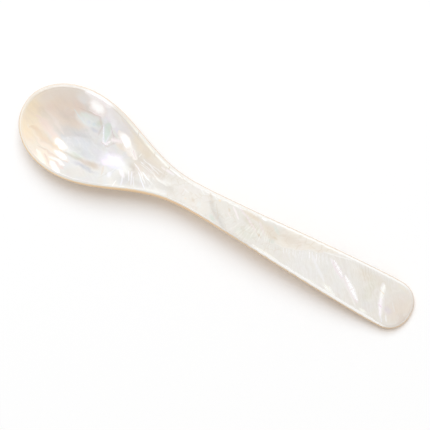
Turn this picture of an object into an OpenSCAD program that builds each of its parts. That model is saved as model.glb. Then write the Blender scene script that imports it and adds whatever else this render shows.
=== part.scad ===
// Spoon cut and polished from one pearl shell.
// The shell has grown in two layers, a white nacre layer on the face and a warmer
// amber layer behind it. Each layer is one solid, and they meet face to face.
// The bowl lies towards -X and the handle's end towards +X, and the spoon rests on z = 0.

/* [Overall] */
// Length from the bowl's tip to the handle's end
spoon_length = 120; // [105:1:140]
// Height of the face at the top of the arch
arch_height = 9.2; // [8:0.1:12]
// Depth that polishing takes off where the spoon rests
rest_cut = 0.2; // [0.1:0.05:0.3]

/* [Bowl] */
// Width at the bowl's widest line
bowl_width = 25.2; // [21:0.1:29]
// Length from the tip to the widest line
nose_length = 16.4; // [13:0.1:19]
// Length from the widest line to the narrowest part of the neck
shoulder_length = 35.6; // [31:0.1:40]
// Depth of the dish under its rim
dish_depth = 5.6; // [5:0.1:6.4]
// Length from the widest line to where the dish runs out
dish_run = 31; // [27:0.5:34]
// Wall at the rim and under the deepest point
bowl_wall = 1.4; // [1.1:0.05:1.8]

/* [Handle] */
// Width at the narrowest part of the neck
neck_width = 7.9; // [6.5:0.1:9.5]
// Thickness at the neck
neck_thick = 2.9; // [2.4:0.05:3.4]
// Width where the rounded end begins
end_width = 13.8; // [11:0.1:16]
// Thickness at the handle's end
end_thick = 2; // [1.6:0.05:2.4]
// Length of the rounded end
end_round = 6.7; // [5:0.1:9]

/* [Edges] */
// Width of the polished rounding between the face and the side
face_round = 1.1; // [0.7:0.05:1.5]
// Width of the smaller rounding between the side and the underside
under_round = 0.5; // [0.3:0.05:0.8]

/* [Hidden] */

// Steps along the nose, the shoulder, the handle and the rounded end
nose_steps = 16;
shoulder_steps = 17;
handle_steps = 20;
end_steps = 9;
side_steps = nose_steps + shoulder_steps + handle_steps + end_steps;
loop_steps = 2 * side_steps;

// Places along the spoon
neck_x = nose_length + shoulder_length;
end_x = spoon_length - end_round;
crest_share = 0.57;
crest_x = spoon_length * crest_share;

// Powers of the outline: above 2 an arc is squarer than an ellipse
nose_power = 2.08;
end_power = 2.15;
shoulder_power = 2.34;
// How far the handle has widened, by share of its length, and how wide, by share
widening_shares = [[0, 0], [0.25, 0.2], [0.5, 0.54], [0.75, 0.83], [1, 1]];

// Heights of the face along the middle, before the resting cut
seat_height = dish_depth + bowl_wall;
tip_height_share = 0.9;
neck_rise_share = 0.68;
slope_place_share = 0.5;
slope_height_share = 0.7;
face_heights = [
    [0, seat_height * tip_height_share],
    [nose_length, seat_height],
    [neck_x, blend(seat_height, arch_height, neck_rise_share)],
    [crest_x, arch_height],
    [blend(crest_x, spoon_length, slope_place_share),
     blend(end_thick, arch_height, slope_height_share)],
    [spoon_length, end_thick]];
wall_stations = [
    [0, bowl_wall], [nose_length, bowl_wall], [neck_x, neck_thick], [spoon_length, end_thick]];

// Shape of the dish: its cross-section, its soft lip and how it runs out
dish_power = 2.2;
lip_power = 1.15;
between_power = 1.07;
run_power = 1.7;

// The side of the wall: the widest line lies this share of the wall under the face
side_share = 0.6;
// Angle on the upper rounding at which the two layers meet, from the widest line
seam_angle = 25;
// Share of the wall that is nacre, in the middle
nacre_share = 0.5;

// Shares of the way at which the rings of each surface lie
nacre_side_shares = [0, 0.26, 0.51, 0.76];
amber_side_shares = [0.2, 0.42, 0.64, 0.82, 1];
face_shares = [1, 0.97, 0.92, 0.84, 0.73, 0.6, 0.45, 0.29, 0.14];
under_shares = [0.1, 0.21, 0.34, 0.48, 0.62, 0.75, 0.86, 0.94];
between_shares = [0.9, 0.66, 0.36];

function blend(a, b, t) = a + (b - a) * t;
function clamp(v, low, high) = min(high, max(low, v));
function arc(u, power) = pow(max(0, 1 - pow(u, power)), 1 / power);

// Smooth curve through stations of [place, value]
function slope_at(table, i, level_ends) =
    let (last = len(table) - 1, a = max(0, i - 1), b = min(last, i + 1))
    level_ends && (i == 0 || i == last) ? 0
    : (table[b][1] - table[a][1]) / (table[b][0] - table[a][0]);
function stretch_of(table, place, i = 0) =
    i >= len(table) - 2 || place < table[i + 1][0] ? i : stretch_of(table, place, i + 1);
function smooth_at(table, place, level_ends = false) =
    let (
        i = stretch_of(table, place),
        run = table[i + 1][0] - table[i][0],
        t = clamp((place - table[i][0]) / run, 0, 1),
        a = table[i][1],
        b = table[i + 1][1],
        slope_a = slope_at(table, i, level_ends) * run,
        slope_b = slope_at(table, i + 1, level_ends) * run)
    a * (2 * t * t * t - 3 * t * t + 1) + slope_a * (t * t * t - 2 * t * t + t)
    + b * (3 * t * t - 2 * t * t * t) + slope_b * (t * t * t - t * t);

// Half the spoon's width at x from the tip
function half_width(x) =
    x < nose_length ? bowl_width / 2 * arc((nose_length - x) / nose_length, nose_power)
    : x < neck_x ? blend(neck_width, bowl_width,
        pow(cos(90 * (x - nose_length) / shoulder_length), shoulder_power)) / 2
    : x < end_x ? blend(neck_width, end_width,
        smooth_at(widening_shares, (x - neck_x) / (end_x - neck_x), true)) / 2
    : end_width / 2 * arc((x - end_x) / end_round, end_power);

// Stations along the spoon, close together round both ends
stations = [
    for (i = [0 : nose_steps - 1])
        nose_length * (1 - pow(cos(90 * i / nose_steps), 2 / nose_power)),
    for (i = [0 : shoulder_steps - 1]) nose_length + shoulder_length * i / shoulder_steps,
    for (i = [0 : handle_steps - 1]) neck_x + (end_x - neck_x) * i / handle_steps,
    for (i = [0 : end_steps]) end_x + end_round * pow(sin(90 * i / end_steps), 2 / end_power)];

// The outline in plan, from the tip along the far side and back along the near side
function station_of(j) = j <= side_steps ? j : loop_steps - j;
outline = [
    for (j = [0 : loop_steps - 1])
        let (x = stations[station_of(j)])
        [x, half_width(x) * (j <= side_steps ? 1 : -1)]];
inward = [
    for (j = [0 : loop_steps - 1])
        let (
            ahead = outline[(j + 1) % loop_steps],
            behind = outline[(j + loop_steps - 1) % loop_steps],
            run = ahead - behind)
        [run[1], -run[0]] / norm(run)];

// The middle line that the rings close on, from the widest line to the rounded end
spine_first = nose_steps;
spine_last = side_steps - end_steps;
spine_count = spine_last - spine_first + 1;
function spine_of(j) = clamp(station_of(j), spine_first, spine_last) - spine_first;
function spine_point(j) = [stations[spine_of(j) + spine_first], 0];

// Height of the face's edge and the wall at x from the tip
function edge_height(x) = smooth_at(face_heights, x) - rest_cut;
function wall(x) = smooth_at(wall_stations, x);
function dish_at(j) =
    let (x = spine_point(j)[0], t = (x - nose_length) / dish_run)
    t >= 1 ? 0 : dish_depth * pow(cos(90 * t), run_power);

// The underside's rounding ends at the slope on which the bowl's outside goes on
function under_angle(j) =
    -90 + atan(dish_power * dish_at(j) / norm(outline[j] - spine_point(j)));
function side_inset(angle) = (angle > 0 ? face_round : under_round) * (1 - cos(angle));
function side_depth_share(angle) =
    side_share - (angle > 0 ? side_share : 1 - side_share) * sin(angle);
function side_point(j, angle) =
    let (p = outline[j] + inward[j] * side_inset(angle))
    [p[0], p[1], edge_height(p[0]) - wall(p[0]) * side_depth_share(angle)];

// Points at a share of the way out from the middle line to the outline's inset
function plan_point(j, inset, share) =
    let (rim = outline[j] + inward[j] * inset, middle = spine_point(j))
    middle + (rim - middle) * share;
function face_point(j, share) =
    let (p = plan_point(j, face_round, share))
    [p[0], p[1],
     edge_height(p[0]) - dish_at(j) * pow(1 - pow(share, dish_power), lip_power)];
function under_point(j, share) =
    let (
        p = plan_point(j, side_inset(under_angle(j)), share),
        rim_share = side_depth_share(under_angle(j)))
    [p[0], p[1],
     edge_height(p[0]) - dish_at(j) * (1 - pow(share, dish_power))
     - wall(p[0]) * blend(1, rim_share, share * share)];
function between_point(j, share) =
    let (p = plan_point(j, side_inset(seam_angle), share))
    [p[0], p[1],
     edge_height(p[0]) - dish_at(j) * pow(1 - pow(share, dish_power), between_power)
     - wall(p[0]) * blend(nacre_share, side_depth_share(seam_angle), share * share)];

// Rings of points: the loop index runs round the outline
every = [for (j = [0 : loop_steps - 1]) j];
spine_loops = [for (i = [0 : spine_count - 1]) i + spine_first];
nacre_side_rings = [
    for (share = nacre_side_shares)
        [for (j = every) side_point(j, blend(seam_angle, 90, share))]];
amber_side_rings = [
    for (share = amber_side_shares)
        [for (j = every) side_point(j, blend(under_angle(j), seam_angle, share))]];
face_rings = [for (share = face_shares) [for (j = every) face_point(j, share)]];
under_rings = [
    for (share = under_shares) [for (j = every) under_point(j, share)]];
under_edge_ring = [for (j = every) under_point(j, 1)];
between_rings = [
    for (share = between_shares) [for (j = every) between_point(j, share)]];
face_spine = [for (j = spine_loops) face_point(j, 0)];
under_spine = [for (j = spine_loops) under_point(j, 0)];
between_spine = [for (j = spine_loops) between_point(j, 0)];

// Two triangles for one cell of a strip. The diagonal is mirrored on the near side.
// The nacre layer runs outwards where the amber layer runs inwards, so it swaps the
// diagonal where they meet, and both layers share their facets.
function cell(a, a_next, b, b_next, swap, j) =
    (j >= side_steps) != swap
    ? [[a, a_next, b], [a_next, b_next, b]]
    : [[a, a_next, b_next], [a, b_next, b]];

function strip(first, second, swap) = [
    for (j = every, face = cell(first + j, first + (j + 1) % loop_steps,
        second + j, second + (j + 1) % loop_steps, swap, j)) face];

// Fans and cells between a ring and the middle line
function start_strip(ring, spine, swap) = [
    for (j = every)
        let (next = (j + 1) % loop_steps, s = spine + spine_of(j), s_next = spine + spine_of(next))
        each s == s_next
            ? [[s, ring + next, ring + j]]
            : cell(s, s_next, ring + j, ring + next, swap, j)];
function end_strip(ring, spine) = [
    for (j = every)
        let (next = (j + 1) % loop_steps, s = spine + spine_of(j), s_next = spine + spine_of(next))
        each s == s_next
            ? [[ring + j, ring + next, s]]
            : cell(ring + j, ring + next, s, s_next, false, j)];

// A closed solid from a lower middle line, rings going out and in, and an upper line.
// The first strips, as many as swapped says, take the other diagonal.
module layer_solid(lower_spine, rings, upper_spine, swapped) {
    count = len(rings);
    lower = count * loop_steps;
    upper = lower + spine_count;
    points = concat([for (ring = rings) each ring], lower_spine, upper_spine);
    faces = concat(
        start_strip(0, lower, swapped > 0),
        [for (r = [0 : count - 2])
            each strip(r * loop_steps, (r + 1) * loop_steps, r + 1 < swapped)],
        end_strip((count - 1) * loop_steps, upper));
    translate([-spoon_length / 2, 0, 0])
        polyhedron(points, faces, convexity = 6);
}

// White nacre: the whole face, the inside of the bowl and the upper rounding
module nacre_layer() {
    color("linen")
    layer_solid(
        between_spine,
        concat(reversed(between_rings), nacre_side_rings, face_rings),
        face_spine, len(between_rings) + 1);
}

// Amber layer: the underside, the side below the seam and the outside of the bowl.
// It is ground flat on z = 0 under the bowl and under the handle's end.
module amber_layer() {
    color("burlywood")
    difference() {
        layer_solid(
            under_spine,
            concat(under_rings, [under_edge_ring], amber_side_rings, between_rings),
            between_spine, 0);
        translate([-spoon_length, -bowl_width, -bowl_width])
            cube([2 * spoon_length, 2 * bowl_width, bowl_width]);
    }
}

function reversed(list) = [for (i = [len(list) - 1 : -1 : 0]) list[i]];

nacre_layer();
amber_layer();
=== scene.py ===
# %% [markdown]
# A small spoon cut from one pearl shell and polished all over. The solids come from the
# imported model, and this script gives them their skin: a smooth, slightly uneven surface
# and the pearly colours that make the material. Everything is in metres, with +X towards
# the handle's end, +Y across the spoon and +Z up.

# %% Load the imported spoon
import math
import bmesh
import bpy
from mathutils import Matrix, Vector, kdtree, noise


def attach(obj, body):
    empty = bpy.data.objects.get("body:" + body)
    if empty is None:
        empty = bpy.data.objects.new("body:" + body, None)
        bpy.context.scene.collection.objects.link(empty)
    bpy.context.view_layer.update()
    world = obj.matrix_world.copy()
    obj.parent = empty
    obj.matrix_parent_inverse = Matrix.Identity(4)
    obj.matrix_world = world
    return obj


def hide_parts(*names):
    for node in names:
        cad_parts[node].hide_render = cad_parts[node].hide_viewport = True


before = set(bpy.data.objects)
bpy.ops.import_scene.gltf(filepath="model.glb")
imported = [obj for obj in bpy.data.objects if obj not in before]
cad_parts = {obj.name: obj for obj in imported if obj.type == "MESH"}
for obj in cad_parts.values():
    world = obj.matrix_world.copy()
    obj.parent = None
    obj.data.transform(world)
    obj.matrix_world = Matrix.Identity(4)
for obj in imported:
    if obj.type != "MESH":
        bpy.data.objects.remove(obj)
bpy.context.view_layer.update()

# %% [markdown]
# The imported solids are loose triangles, which would show as flat facets. Remeshing them
# would blur the thin rim, so each layer is copied, its points are merged and its triangles
# are paired back into four-sided faces. The seam where the two layers meet is a crisp
# edge, so its edges get a full crease, and a subdivision surface then smooths the rest.

# %% Copy one layer of the shell and smooth it
MM = 0.001
MERGE_REACH = 0.002 * MM
SEAM_ANGLE = math.radians(50)
PAIR_ANGLE = math.radians(30)
SMOOTH_LEVELS = 2


def smooth_layer(node, name):
    """A smoothed copy of one packed layer, which takes that layer's place."""
    mesh = bmesh.new()
    mesh.from_mesh(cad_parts[node].data)
    bmesh.ops.remove_doubles(mesh, verts=mesh.verts, dist=MERGE_REACH)
    bmesh.ops.join_triangles(mesh, faces=mesh.faces, angle_face_threshold=PAIR_ANGLE,
                             angle_shape_threshold=math.pi)
    crease = mesh.edges.layers.float.new("crease_edge")
    for edge in mesh.edges:
        if len(edge.link_faces) == 2 and edge.calc_face_angle() > SEAM_ANGLE:
            edge[crease] = 1
    for face in mesh.faces:
        face.smooth = True
    data = bpy.data.meshes.new(name)
    mesh.to_mesh(data)
    mesh.free()
    piece = bpy.data.objects.new(name, data)
    bpy.context.scene.collection.objects.link(piece)
    smoothing = piece.modifiers.new("smooth", "SUBSURF")
    smoothing.levels = SMOOTH_LEVELS
    smoothing.render_levels = SMOOTH_LEVELS
    bpy.context.view_layer.update()
    seen = piece.evaluated_get(bpy.context.evaluated_depsgraph_get())
    piece.data = bpy.data.meshes.new_from_object(seen)
    piece.modifiers.clear()
    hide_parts(node)
    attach(piece, "root")
    print(name, "has", len(piece.data.polygons), "faces")
    return piece


nacre = smooth_layer("nacre_layer", "nacre_skin")
amber = smooth_layer("amber_layer", "amber_skin")

# %% [markdown]
# On the real spoon the colour follows the rim: an amber line at the very edge, a white
# line just inside it, then the broad pearly face. A pattern in plain coordinates can't
# follow that curved edge, so each point keeps its distance from the outline, as seen from
# above, in an attribute that the materials read. The outline is found on the meshes
# themselves, where faces that look up meet faces that look down.

# %% Measure how far each point lies from the rim
RIM_SAMPLES = 6
ABOVE_FLAT = 0.4 * MM
END_HUB = 54
STEPS_PER_MM = 8


def outline_points(pieces):
    """Places on the edges where faces that look up meet faces that look down."""
    points = []
    for piece in pieces:
        mesh = bmesh.new()
        mesh.from_mesh(piece.data)
        mesh.normal_update()
        for edge in mesh.edges:
            sides = [face.normal.z for face in edge.link_faces]
            if len(sides) == 2 and min(sides) < 0 <= max(sides):
                ends = [vert.co for vert in edge.verts]
                if min(ends[0].z, ends[1].z) > ABOVE_FLAT:
                    points += [ends[0].lerp(ends[1], i / RIM_SAMPLES) for i in range(RIM_SAMPLES)]
        mesh.free()
    return [Vector((p.x, p.y, 0)) for p in points]


def outermost(points):
    """Keep the points that no other lies outside of, looking out from the long axis."""
    best = {}
    for p in points:
        x = p.x / MM
        if abs(x) < END_HUB:
            key = (round(x * STEPS_PER_MM), p.y > 0)
            reach = abs(p.y)
        else:
            hub = Vector((math.copysign(END_HUB, x) * MM, 0, 0))
            key = ("end", x > 0, round(math.degrees(math.atan2(p.y, p.x - hub.x))))
            reach = (p - hub).length
        if key not in best or reach > best[key][0]:
            best[key] = (reach, p)
    return [p for reach, p in best.values()]


rim_points = outermost(outline_points((nacre, amber)))
rim_tree = kdtree.KDTree(len(rim_points))
for number, point in enumerate(rim_points):
    rim_tree.insert(point, number)
rim_tree.balance()
for piece in (nacre, amber):
    reach = [rim_tree.find(Vector((v.co.x, v.co.y, 0)))[2] / MM for v in piece.data.vertices]
    layer = piece.data.attributes.new("rim", "FLOAT", "POINT")
    layer.data.foreach_set("value", reach)
    print(piece.name, "lies up to", round(max(reach), 2), "mm inside the rim")

# %% [markdown]
# Pearl shell is ground and polished by hand, so its face is never quite true: it waves by
# a few hundredths of a millimetre, which breaks up the reflections. The waves are real
# points moved along their normals, always inwards, so the spoon stays within its size.
# They fade out towards the rim, where the two layers share an edge, and on the small
# flat that the spoon rests on.

# %% Give the polished face its slight waves
WAVE_LENGTH = 5.0
WAVE_DEPTH = 0.05 * MM
WAVE_FALL = 1.0
WAVE_FINER = 2.0
WAVE_OCTAVES = 3
STILL_BELOW = 0.3 * MM
STILL_RIM = 1
RIM_RISE = 2
LEAST_FACING = 0.3
FACING_RISE = 0.4


def hand_polish(piece, side):
    """Move the face's points inwards by a slow noise, from normals read before any moves."""
    normals = [tuple(n.vector) for n in piece.data.vertex_normals]
    rims = [entry.value for entry in piece.data.attributes["rim"].data]
    places = [vert.co.copy() for vert in piece.data.vertices]
    for i, normal in enumerate(normals):
        facing = side * normal[2]
        if places[i].z > STILL_BELOW and facing > LEAST_FACING and rims[i] > STILL_RIM:
            share = min((rims[i] - STILL_RIM) / RIM_RISE, 1)
            share *= min((facing - LEAST_FACING) / FACING_RISE, 1)
            spot = places[i] / (WAVE_LENGTH * MM)
            wave = noise.fractal(spot, WAVE_FALL, WAVE_FINER, WAVE_OCTAVES) * 0.5 + 0.5
            places[i] -= Vector(normal) * (share * WAVE_DEPTH * min(max(wave, 0), 1))
    piece.data.vertices.foreach_set("co", [value for place in places for value in place])
    piece.data.update()


hand_polish(nacre, 1)
hand_polish(amber, -1)
print("waves up to", WAVE_DEPTH / MM, "mm deep,", WAVE_LENGTH, "mm long")

# %% [markdown]
# The materials are many small nodes wired together. Wiring each by hand would be long, so
# one helper adds a node, sets it up and links what feeds it. Two more do so for the nodes
# that reckon with numbers and with places.

# %% Helpers that add a node


def shade(code):
    """A colour written as six hex digits, as the shader wants it."""
    parts = [int(code[i:i + 2], 16) / 255 for i in (0, 2, 4)]
    return tuple(p / 12.92 if p <= 0.04045 else ((p + 0.055) / 1.055) ** 2.4 for p in parts) + (1,)


def add(tree, kind, values=(), **settings):
    """Add a node. Values go to its inputs, by place or name: numbers, or sockets to link."""
    made = tree.nodes.new("ShaderNode" + kind)
    for name, value in settings.items():
        setattr(made, name, value)
    pairs = values.items() if isinstance(values, dict) else enumerate(values)
    for place, value in pairs:
        if isinstance(value, bpy.types.NodeSocket):
            tree.links.new(value, made.inputs[place])
        elif value is not None:
            made.inputs[place].default_value = value
    return made


def math_node(tree, operation, *values):
    """Reckon with numbers."""
    return add(tree, "Math", values, operation=operation).outputs[0]


def vector_node(tree, operation, *values):
    """Reckon with places. A length and a dot product come out as numbers."""
    made = add(tree, "VectorMath", values, operation=operation)
    return made.outputs["Value" if operation in ("LENGTH", "DOT_PRODUCT") else "Vector"]


print("white, as the shader wants it, is", shade("FFFFFF"))

# %% [markdown]
# A few steps come back all the time: a product of masks, what is left of a mask, laying
# one colour over another, and a smooth rise between two values. Each gets a short name, so
# that the materials below read like a list of what is done to the shell. The smooth rise
# is level outside its two values without a clamp, and the nacre has so many of them that
# leaving the clamps out keeps it within what the renderer can hold.

# %% Helpers for masks, colours and ramps


def times(tree, *values):
    """Two or more values multiplied together."""
    product = values[0]
    for value in values[1:]:
        product = math_node(tree, "MULTIPLY", product, value)
    return product


def less(tree, value):
    """What is left of 1 when a value is taken from it."""
    return math_node(tree, "SUBTRACT", 1.0, value)


def blend(tree, share, first, second):
    """From the first colour to the second, by a share from 0 to 1."""
    made = add(tree, "Mix", {0: share, 6: first, 7: second}, data_type="RGBA")
    return made.outputs[2]


def tint(tree, share, colour, code):
    """Lay a plain colour over the colour so far."""
    return blend(tree, share, colour, shade(code))


def ramp(tree, value, start, end, low=0.0, high=1.0):
    """A smooth rise from low to high as the value goes from start to end, level outside."""
    made = add(tree, "MapRange", (value, start, end, low, high), interpolation_type="SMOOTHSTEP",
               clamp=False)
    return made.outputs[0]


print("helpers for masks, colours and ramps are ready")

# %% [markdown]
# A node group is a set of nodes that works as one node, with named inputs and outputs. It
# is built once and then used many times, each time with its own values. One helper makes
# an empty group, and another puts a group to use.

# %% Helpers for node groups


def make_group(name, takes, gives):
    """An empty node group with named inputs and outputs, and its two end nodes."""
    group = bpy.data.node_groups.new(name, "ShaderNodeTree")
    for way, sockets in (("INPUT", takes), ("OUTPUT", gives)):
        for socket, kind in sockets.items():
            group.interface.new_socket(name=socket, in_out=way, socket_type="NodeSocket" + kind)
    return group, group.nodes.new("NodeGroupInput"), group.nodes.new("NodeGroupOutput")


def use(tree, group, **values):
    """Place a group in a material. Its inputs are given by name."""
    made = tree.nodes.new("ShaderNodeGroup")
    made.node_tree = group
    for name, value in values.items():
        if isinstance(value, bpy.types.NodeSocket):
            tree.links.new(value, made.inputs[name])
        else:
            made.inputs[name].default_value = value
    return made.outputs[0]


print("helpers for node groups are ready")

# %% [markdown]
# Most of what the shell shows can be made of three shapes, all of them masks from 0 to 1,
# read from a place on the face in millimetres. The first is a soft oval patch, where one
# sheet of the shell comes to the surface. The place is turned and divided by the patch's
# half sizes, so that the patch becomes a circle of radius 1 and its edge a simple ramp.

# %% A node group for a soft patch
patch_group, start, end = make_group(
    "soft patch", {"Place": "Vector", "Centre": "Vector", "Reach": "Vector", "Turn": "Float",
                   "Edge": "Float", "Strength": "Float"}, {"Mask": "Float"})
tree = patch_group
away = vector_node(tree, "SUBTRACT", start.outputs["Place"], start.outputs["Centre"])
turned = add(tree, "VectorRotate", {"Vector": away, "Angle": start.outputs["Turn"]},
             rotation_type="Z_AXIS").outputs[0]
ring = vector_node(tree, "LENGTH", vector_node(tree, "DIVIDE", turned, start.outputs["Reach"]))
fade = ramp(tree, ring, 1.0, less(tree, start.outputs["Edge"]))
tree.links.new(times(tree, fade, start.outputs["Strength"]), end.inputs[0])
print("group:", patch_group.name)

# %% [markdown]
# The other two shapes follow a line: a tapering stroke, where a sheet is cut edge on, and
# a ray that spreads from a point. They share two steps, finding how far along the line a
# place lies and closing the mask at the line's width, and differ only in how the width
# grows along the way.

# %% Node groups for a tapering stroke and a spreading ray


def along_line(tree, start):
    """How far along the line from Start to End a place lies, and how far beside it."""
    along = vector_node(tree, "SUBTRACT", start.outputs["End"], start.outputs["Start"])
    away = vector_node(tree, "SUBTRACT", start.outputs["Place"], start.outputs["Start"])
    share = math_node(tree, "DIVIDE", vector_node(tree, "DOT_PRODUCT", away, along),
                      vector_node(tree, "DOT_PRODUCT", along, along))
    share = add(tree, "Clamp", (share, 0.0, 1.0)).outputs[0]
    foot = add(tree, "VectorMath", {0: along, "Scale": share}, operation="SCALE").outputs[0]
    return share, vector_node(tree, "LENGTH", vector_node(tree, "SUBTRACT", away, foot))


def close_line(tree, start, end, distance, width):
    """Give the mask: full in the core, and fading towards the width."""
    core = times(tree, width, less(tree, start.outputs["Edge"]))
    fade = ramp(tree, distance, width, core)
    tree.links.new(times(tree, fade, start.outputs["Strength"]), end.inputs[0])


stroke_group, start, end = make_group(
    "tapering stroke", {"Place": "Vector", "Start": "Vector", "End": "Vector", "Width": "Float",
                        "Edge": "Float", "Strength": "Float"}, {"Mask": "Float"})
tree = stroke_group
share, distance = along_line(tree, start)
hump = times(tree, share, 4.0, less(tree, share))
width = times(tree, math_node(tree, "SQRT", hump), start.outputs["Width"])
close_line(tree, start, end, distance, width)

ray_group, start, end = make_group(
    "spreading ray", {"Place": "Vector", "Start": "Vector", "End": "Vector", "Width": "Float",
                      "Edge": "Float", "Strength": "Float"}, {"Mask": "Float"})
tree = ray_group
share, distance = along_line(tree, start)
width = times(tree, share, start.outputs["Width"])
close_line(tree, start, end, distance, width)
print("groups:", stroke_group.name, ray_group.name)

# %% [markdown]
# Nothing in a shell is a clean oval, so the place that the patches are read from is first
# pushed about by a slow noise: their edges wander like the edges of real sheets.

# %% A node group that makes places drift
drift_group, start, end = make_group(
    "drift", {"Place": "Vector", "Size": "Float", "Amount": "Float"}, {"Place": "Vector"})
tree = drift_group
small = vector_node(tree, "DIVIDE", start.outputs["Place"], start.outputs["Size"])
push = add(tree, "TexNoise", {"Vector": small, "Scale": 1.0, "Detail": 2.0}).outputs["Color"]
push = vector_node(tree, "SUBTRACT", push, (0.5, 0.5, 0.5))
push = vector_node(tree, "MULTIPLY", push, start.outputs["Amount"])
push = vector_node(tree, "MULTIPLY", push, (2.0, 2.0, 0.0))
tree.links.new(vector_node(tree, "ADD", start.outputs["Place"], push), end.inputs[0])
print("group:", drift_group.name)

# %% [markdown]
# Two more groups draw what is too fine to lay by hand: silk, the parallel lines along
# which the shell grew, and the fan of creases that spreads from one point. Both are
# plain noise, stretched: the silk by its length and width, and the fan by reading the
# noise at an angle and a distance in place of two sides.

# %% Node groups for silk and fan
CREASE_STRETCH = 0.16

silk_group, start, end = make_group(
    "silk", {"Place": "Vector", "Turn": "Float", "Length": "Float", "Width": "Float"},
    {"Mask": "Float"})
tree = silk_group
turned = add(tree, "VectorRotate", {"Vector": start.outputs["Place"],
                                    "Angle": start.outputs["Turn"]},
             rotation_type="Z_AXIS").outputs[0]
size = add(tree, "CombineXYZ", (start.outputs["Length"], start.outputs["Width"], 1.0)).outputs[0]
lines = add(tree, "TexNoise", {"Vector": vector_node(tree, "DIVIDE", turned, size),
                               "Scale": 1.0, "Detail": 3.0, "Roughness": 0.6}).outputs[0]
tree.links.new(ramp(tree, lines, 0.3, 0.7), end.inputs[0])

fan_group, start, end = make_group(
    "fan", {"Place": "Vector", "Centre": "Vector", "Lines": "Float"}, {"Mask": "Float"})
tree = fan_group
away = vector_node(tree, "SUBTRACT", start.outputs["Place"], start.outputs["Centre"])
parts = add(tree, "SeparateXYZ", (away,)).outputs
angle = math_node(tree, "ARCTAN2", parts[1], parts[0])
reach = vector_node(tree, "LENGTH", away)
spot = add(tree, "CombineXYZ", (times(tree, angle, start.outputs["Lines"]),
                                times(tree, reach, CREASE_STRETCH), 0.0)).outputs[0]
lines = add(tree, "TexNoise", {"Vector": spot, "Scale": 1.0, "Detail": 2.0,
                               "Roughness": 0.5}).outputs[0]
tree.links.new(ramp(tree, lines, 0.5, 0.64), end.inputs[0])
print("groups:", silk_group.name, fan_group.name)

# %% [markdown]
# The pearly face is painted the way the shell grew: one sheet over another. A table lists
# the sheets and the cut edges of each region, from the lowest to the topmost, with their
# places in millimetres, and a loop lays them over the colour so far. Colours are written
# as they look in plain light.

# %% Lay sheets and cut edges over a colour


def sheet(words, centre, reach, turn, edge, strength, code):
    """A soft oval patch: its half sizes in mm, its turn in degrees, its edge from 0 to 1."""
    return words, patch_group, code, {
        "Centre": centre + (0,), "Reach": reach + (1000,), "Turn": -math.radians(turn),
        "Edge": edge, "Strength": strength}


def cut(words, first, last, width, edge, strength, code):
    """A tapering stroke between two places, with half its width in mm."""
    return words, stroke_group, code, {
        "Start": first + (0,), "End": last + (0,), "Width": width, "Edge": edge,
        "Strength": strength}


def ray(words, first, last, width, edge, strength, code):
    """A stroke that starts as a point and has its full half width at its round end."""
    return (words, ray_group) + cut(words, first, last, width, edge, strength, code)[2:]


def lay(tree, place, colour, marks):
    """Lay all the marks of a table over a colour, the first one lowest."""
    for words, group, code, values in marks:
        mask = use(tree, group, Place=place, **values)
        mask.node.label = words
        colour = tint(tree, mask, colour, code)
    return colour


print("helpers for the tables of marks are ready")

# %% [markdown]
# Both layers are polished alike, so one helper starts their materials: a clear coat over
# a soft ground, and the place on the spoon in millimetres, from Object coordinates. The
# nacre reads that place in three ways: with a slow drift for sheets, with a second drift
# on top of it for the widest ones, and with a slight one for crisp marks.

# %% Start the nacre
SHELL_IOR = 1.53
SHELL_COAT = 0.4
COAT_ROUGHNESS = 0.1
SPECULAR_LEVEL = 0.2
PER_MM = 1000.0


def start_material(name):
    """A polished material, with the places on the spoon in mm, seen from above."""
    material = bpy.data.materials.new(name)
    material.use_nodes = True
    tree = material.node_tree
    shader = tree.nodes["Principled BSDF"]
    shader.inputs["IOR"].default_value = SHELL_IOR
    shader.inputs["Coat Weight"].default_value = SHELL_COAT
    shader.inputs["Coat Roughness"].default_value = COAT_ROUGHNESS
    shader.inputs["Specular IOR Level"].default_value = SPECULAR_LEVEL
    where = add(tree, "TexCoord").outputs["Object"]
    plan = vector_node(tree, "MULTIPLY", where, (PER_MM, PER_MM, 0.0))
    rim = add(tree, "Attribute", attribute_name="rim").outputs["Fac"]
    return material, tree, shader, plan, rim


def dress(piece, material):
    """Give a layer its one material."""
    piece.data.materials.clear()
    piece.data.materials.append(material)
    print(material.name, "has", len(material.node_tree.nodes), "nodes")


GROUND = "ECE8E1"
nacre_material, face, nacre_shader, plan, rim = start_material("nacre")
wander = use(face, drift_group, Place=plan, Size=2.6, Amount=0.9)
place = use(face, drift_group, Place=wander, Size=0.7, Amount=0.28)
crisp = use(face, drift_group, Place=plan, Size=1.6, Amount=0.25)
colour = shade(GROUND)
print("the nacre is painted in millimetres, over", GROUND)

# %% [markdown]
# The bowl takes its colour from the depth of the shell: cream and orange where the thin
# tip shows the outer layer through, tan on the far wall, and a cool lilac grey over the
# thick floor. These are wide, soft sheets, and their edges wander the most.

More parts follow.
